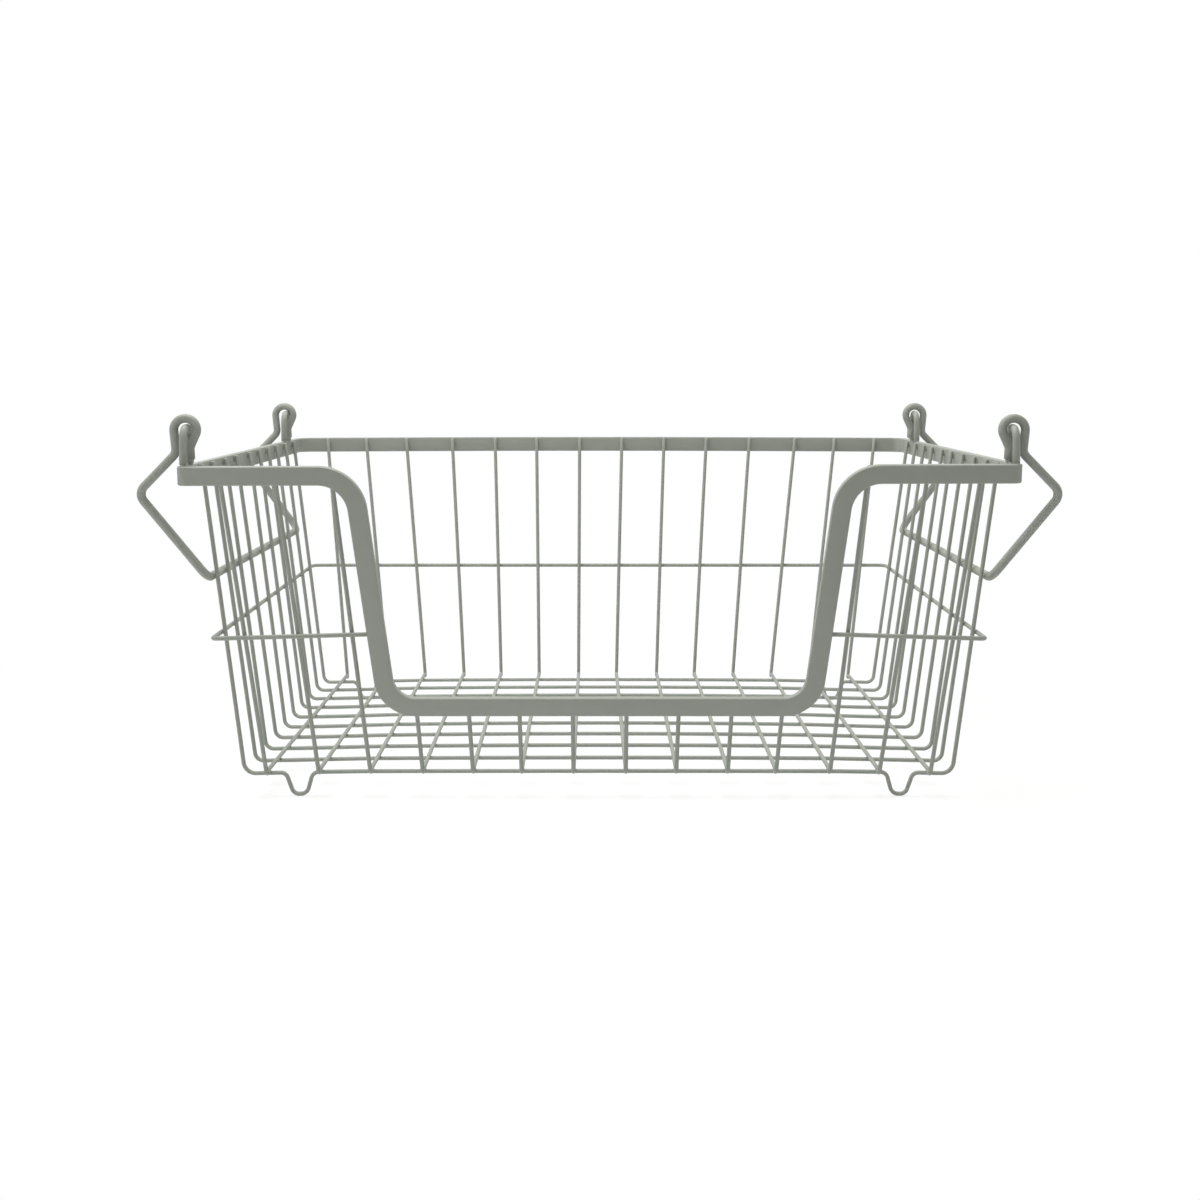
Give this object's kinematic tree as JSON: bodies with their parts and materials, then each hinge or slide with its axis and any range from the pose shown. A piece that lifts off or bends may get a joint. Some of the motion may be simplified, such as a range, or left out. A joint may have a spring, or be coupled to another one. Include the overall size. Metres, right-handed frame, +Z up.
{
  "type": "storage basket",
  "caption": "Open coated-wire storage basket with a dropped front, bump feet and swinging side handles that turn inward to carry a second basket.",
  "frame": {"origin": "on the ground under the middle of the basket, at the bottom centre of its bounding box", "axes": "+X towards the right handle as seen from the dropped front, +Y from the dropped front to the back, +Z up"},
  "size_m": [0.5244, 0.3273, 0.2246],
  "materials": {
    "coated_bar": "satin grey-green powder coat on flat steel bar",
    "coated_wire": "satin grey-green powder coat on steel wire",
    "coated_staple": "satin grey-green powder coat on thick steel wire",
    "coated_handle": "satin grey-green powder coat on thick steel wire"
  },
  "bodies": {
    "basket": {"rim_band": "coated_bar", "foot_wire_front": "coated_wire", "long_wire_2": "coated_wire", "long_wire_3": "coated_wire", "long_wire_4": "coated_wire", "long_wire_5": "coated_wire", "long_wire_6": "coated_wire", "long_wire_7": "coated_wire", "long_wire_8": "coated_wire", "long_wire_9": "coated_wire", "foot_wire_rear": "coated_wire", "cross_wire_1": "coated_wire", "cross_wire_2": "coated_wire", "cross_wire_3": "coated_wire", "cross_wire_4": "coated_wire", "cross_wire_5": "coated_wire", "cross_wire_6": "coated_wire", "cross_wire_7": "coated_wire", "cross_wire_8": "coated_wire", "cross_wire_9": "coated_wire", "cross_wire_10": "coated_wire", "cross_wire_11": "coated_wire", "cross_wire_12": "coated_wire", "cross_wire_13": "coated_wire", "cross_wire_14": "coated_wire", "belt_wire": "coated_wire", "staple_front_left": "coated_staple", "staple_rear_left": "coated_staple", "staple_front_right": "coated_staple", "staple_rear_right": "coated_staple"},
    "left_handle": {"handle_left": "coated_handle"},
    "right_handle": {"handle_right": "coated_handle"}
  },
  "joints": [
    {"name": "left_handle_hinge", "type": "hinge", "parent": "basket", "child": "left_handle", "pos_m": [-0.23427, -0.02095, 0.21575], "axis": [0, 1, 0], "range_deg": [0, 312]},
    {"name": "right_handle_hinge", "type": "hinge", "parent": "basket", "child": "right_handle", "pos_m": [0.23427, -0.02095, 0.21575], "axis": [0, -1, 0], "range_deg": [0, 312]}
  ]
}
